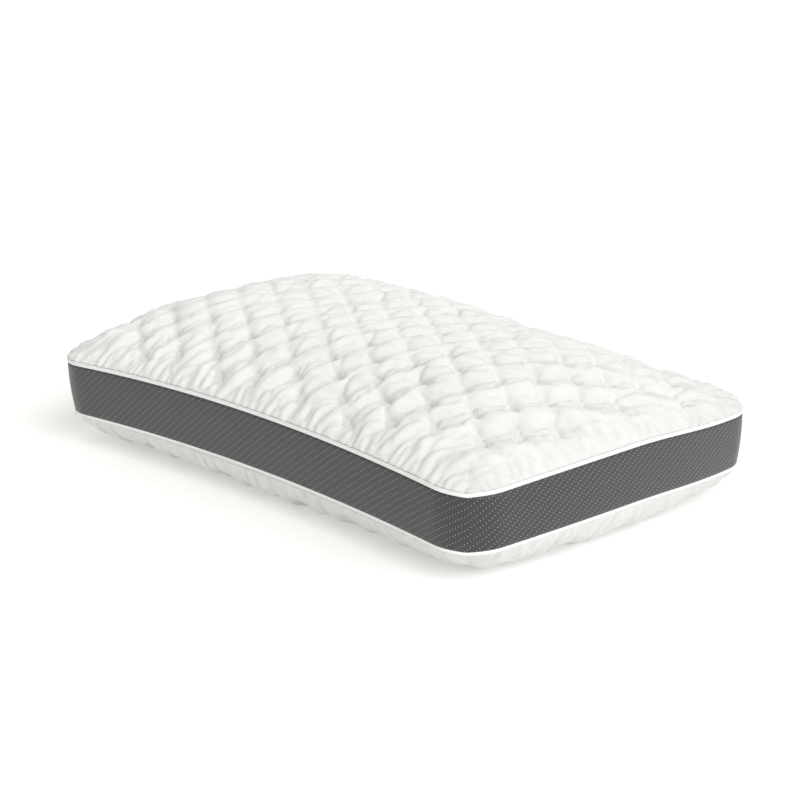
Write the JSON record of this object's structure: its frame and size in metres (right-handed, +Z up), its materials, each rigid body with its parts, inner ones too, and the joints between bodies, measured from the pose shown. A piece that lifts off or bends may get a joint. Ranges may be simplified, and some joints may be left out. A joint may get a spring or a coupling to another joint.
{
  "type": "bed pillow",
  "caption": "Gusseted foam bed pillow with white tack-quilted top and bottom panels, a dark grey mesh gusset with white edge bindings, and a zipped removable cover.",
  "frame": {"origin": "on the surface that the pillow lies on, under the middle of its bounding box", "axes": "+X along the pillow's long side, +Y towards the side with the zip, +Z up from the resting face to the crown"},
  "size_m": [0.621, 0.3906, 0.1505],
  "materials": {
    "quilt_knit": "matte",
    "wadding": "matte",
    "backing": "matte",
    "binding": "satin",
    "spacer_mesh": "matte",
    "foam": "matte",
    "liner_jersey": "matte",
    "zip_tape": "matte",
    "zip_coil": "satin",
    "zip_metal": "satin",
    "white_thread": "satin",
    "grey_thread": "satin",
    "label_satin": "satin"
  },
  "bodies": {
    "pillow": {"foam_core": "foam", "core_liner": "liner_jersey", "top_panel_face": "quilt_knit", "top_panel_wadding": "wadding", "top_panel_backing": "backing", "bottom_panel_face": "quilt_knit", "bottom_panel_wadding": "wadding", "bottom_panel_backing": "backing", "top_edge_binding": "binding", "bottom_edge_binding": "binding", "gusset_band": "spacer_mesh", "zip_strip_upper": "spacer_mesh", "zip_strip_lower": "spacer_mesh", "zip_tape_upper": "zip_tape", "zip_tape_lower": "zip_tape", "zip_coil_upper": "zip_coil", "zip_coil_lower": "zip_coil", "zip_closed_end_stops": "zip_metal", "zip_open_end_stop": "zip_metal", "zip_topstitching": "grey_thread", "top_seam_stitching": "white_thread", "bottom_seam_stitching": "white_thread", "top_quilting_tacks": "white_thread", "bottom_quilting_tacks": "white_thread", "care_label": "label_satin"},
    "slider": {"zip_slider": "zip_metal"},
    "pull": {"zip_pull": "zip_metal"}
  },
  "joints": [
    {"name": "zip_travel", "type": "slide", "parent": "pillow", "child": "slider", "axis": [-1, 0, 0], "range_m": [0, 0.415]},
    {"name": "pull_swing", "type": "hinge", "parent": "slider", "child": "pull", "pos_m": [0.212, 0.19435, 0.062], "axis": [0, 0, -1], "range_deg": [0, 165]}
  ]
}
